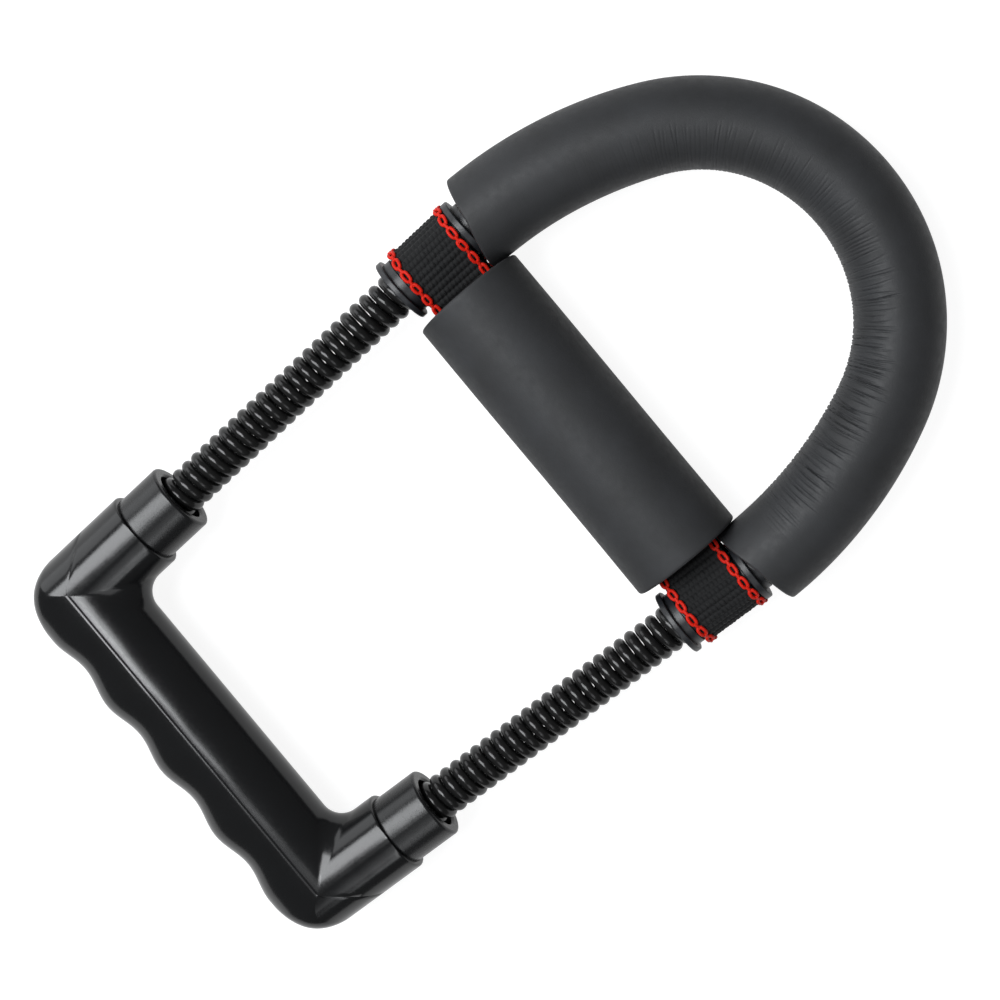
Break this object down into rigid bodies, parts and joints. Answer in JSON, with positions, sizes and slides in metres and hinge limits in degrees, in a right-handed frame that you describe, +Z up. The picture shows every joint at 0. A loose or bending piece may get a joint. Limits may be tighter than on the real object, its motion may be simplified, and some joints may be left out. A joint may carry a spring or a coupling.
{
  "type": "forearm and wrist strengthener",
  "caption": "Sprung wrist and forearm exerciser: foam-padded steel arch, strapped foam cross pad, two coil springs and a moulded hand grip with finger grooves.",
  "frame": {"origin": "under the middle of the whole object, level with the lowest line of the cross pad", "axes": "+X across the object towards its right leg, +Y along the legs from the hand grip towards the arch, +Z up, square to the plane of the arch and the grip"},
  "size_m": [0.173, 0.31, 0.0393],
  "materials": {
    "bar_steel": "drawn mild steel rod",
    "arch_foam": "matt charcoal closed-cell foam sleeve, wrinkled on the inside of the bend",
    "pad_foam": "matt charcoal closed-cell foam, smooth skin",
    "spool_plastic": "dark satin moulded nylon",
    "webbing": "heavy black ribbed webbing",
    "stitching": "red chain stitching",
    "liner_plastic": "thin plastic tube inside the pad",
    "spring_steel": "gloss black coated spring wire",
    "handle_plastic": "gloss black moulded plastic",
    "sleeve_plastic": "gloss black moulded plastic",
    "fastener_steel": "zinc-plated turned steel"
  },
  "bodies": {
    "arch_frame": {"u_bar": "bar_steel", "arch_foam_grip": "arch_foam", "left_spool": "spool_plastic", "right_spool": "spool_plastic", "web_strap": "webbing", "strap_stitching_upper": "stitching", "strap_stitching_lower": "stitching"},
    "cross_pad": {"foam_pad": "pad_foam", "pad_liner_tube": "liner_plastic"},
    "springs": {"left_spring": "spring_steel", "right_spring": "spring_steel"},
    "hand_grip": {"handle_inner_shell": "handle_plastic", "handle_finger_cover": "handle_plastic", "left_socket_sleeve": "sleeve_plastic", "right_socket_sleeve": "sleeve_plastic", "left_spring_plug": "fastener_steel", "right_spring_plug": "fastener_steel", "left_anchor_washer": "fastener_steel", "right_anchor_washer": "fastener_steel", "left_anchor_screw": "fastener_steel", "right_anchor_screw": "fastener_steel"}
  },
  "joints": [
    {"name": "springs_bend_upper", "type": "hinge", "parent": "arch_frame", "child": "springs", "pos_m": [0, -0.0203, 0.01965], "axis": [1, 0, 0], "range_deg": [-35, 35], "stiffness_Nm_per_rad": 11, "deforming": ["left_spring", "right_spring"]},
    {"name": "springs_bend_lower", "type": "hinge", "parent": "springs", "child": "hand_grip", "pos_m": [0, -0.0673, 0.01965], "axis": [1, 0, 0], "range_deg": [-35, 35], "stiffness_Nm_per_rad": 11, "deforming": ["left_spring", "right_spring"]},
    {"name": "pad_roll", "type": "hinge", "parent": "arch_frame", "child": "cross_pad", "pos_m": [0, 0.028, 0.01965], "axis": [1, 0, 0], "continuous": true}
  ],
  "couplings": [
    {"joint": "springs_bend_lower", "follows": "springs_bend_upper", "ratio": 1}
  ]
}
